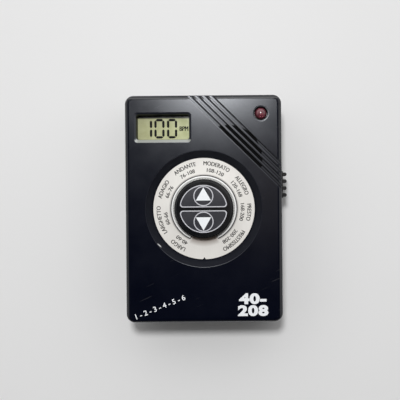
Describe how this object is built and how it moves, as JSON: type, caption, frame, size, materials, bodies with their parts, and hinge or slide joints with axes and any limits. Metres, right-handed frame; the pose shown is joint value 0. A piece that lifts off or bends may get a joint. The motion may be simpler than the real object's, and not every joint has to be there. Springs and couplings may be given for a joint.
{
  "type": "metronome",
  "caption": "Pocket quartz metronome: flat case with a round tempo scale, raised knurled hub with up and down keys, small display, beat lamp, louvred speaker and side switch.",
  "frame": {"origin": "centre of the back face, which the case rests on", "axes": "+X to the right across the face, +Y towards the display end, +Z out of the face"},
  "size_m": [0.0727, 0.1014, 0.0282],
  "materials": {
    "case_black": "fine satin texture",
    "case_back": "fine satin texture",
    "scale_plate": "brushed, printed in dark grey",
    "collar_silver": "bright metallised plastic",
    "hub_black": "satin, knurled side",
    "key_charcoal": "satin, printed silver outline and white arrows",
    "knob_black": "satin",
    "white_plastic": "natural nylon",
    "component_black": "moulded epoxy",
    "lcd_green": "polariser over a reflective display",
    "reflector": "matt foil",
    "frame_grey": "satin",
    "strip_pink": "conductive elastomer",
    "lamp_red": "clear tinted epoxy",
    "tinned_metal": "tinned",
    "board_green": "solder mask",
    "screw_steel": "zinc plated",
    "capacitor_blue": "shrink sleeve",
    "resistor_tan": "lacquered",
    "speaker_steel": "pressed steel",
    "cone_paper": "pressed paper",
    "foam_black": "open-cell foam",
    "cloth_black": "fine weave",
    "wire_red": "stranded wire in soft sleeve",
    "wire_black": "stranded wire in soft sleeve",
    "brass_contact": "plated",
    "battery_skin": "printed steel can, plain",
    "print_white": "screen-printed ink",
    "print_silver": "screen-printed metallic ink",
    "print_dark": "screen-printed ink"
  },
  "bodies": {
    "case": {"front_shell": "case_black", "rear_shell": "case_back", "case_screws": "screw_steel", "dial_plate": "scale_plate", "dial_collar": "collar_silver", "keypad_hub": "hub_black", "tact_switches": "component_black", "switch_body": "tinned_metal", "lcd_glass": "lcd_green", "lcd_reflector": "reflector", "lcd_frame": "frame_grey", "zebra_strips": "strip_pink", "led_lens": "lamp_red", "led_leads": "tinned_metal", "main_board": "board_green", "board_screws": "screw_steel", "controller_chip": "component_black", "quartz_crystal": "tinned_metal", "capacitors": "capacitor_blue", "resistors": "resistor_tan", "regulator": "component_black", "speaker_frame": "speaker_steel", "speaker_cone": "cone_paper", "speaker_magnet": "speaker_steel", "speaker_gasket": "foam_black", "grille_cloth": "cloth_black", "speaker_leads": "wire_red", "earphone_jack": "component_black", "jack_tabs": "brass_contact", "battery": "battery_skin", "battery_terminals": "tinned_metal", "battery_snap": "component_black", "snap_contacts": "tinned_metal", "lead_red": "wire_red", "lead_black": "wire_black", "battery_pad": "foam_black"},
    "upper_key": {"key_up": "key_charcoal", "plunger_up": "white_plastic"},
    "lower_key": {"key_down": "key_charcoal", "plunger_down": "white_plastic"},
    "side_switch": {"switch_knob": "knob_black", "switch_slider": "white_plastic"},
    "door": {"battery_door": "case_back"}
  },
  "joints": [
    {"name": "key_up_press", "type": "slide", "parent": "case", "child": "upper_key", "axis": [0, 0, -1], "range_m": [0, 0.0005], "stiffness_N_per_m": 1000, "springref_m": -0.0003},
    {"name": "key_down_press", "type": "slide", "parent": "case", "child": "lower_key", "axis": [0, 0, -1], "range_m": [0, 0.0005], "stiffness_N_per_m": 1000, "springref_m": -0.0003},
    {"name": "switch_slide", "type": "slide", "parent": "case", "child": "side_switch", "axis": [0, 1, 0], "range_m": [-0.002, 0.002]},
    {"name": "door_slide", "type": "slide", "parent": "case", "child": "door", "axis": [0, -1, 0], "range_m": [0, 0.03]}
  ]
}
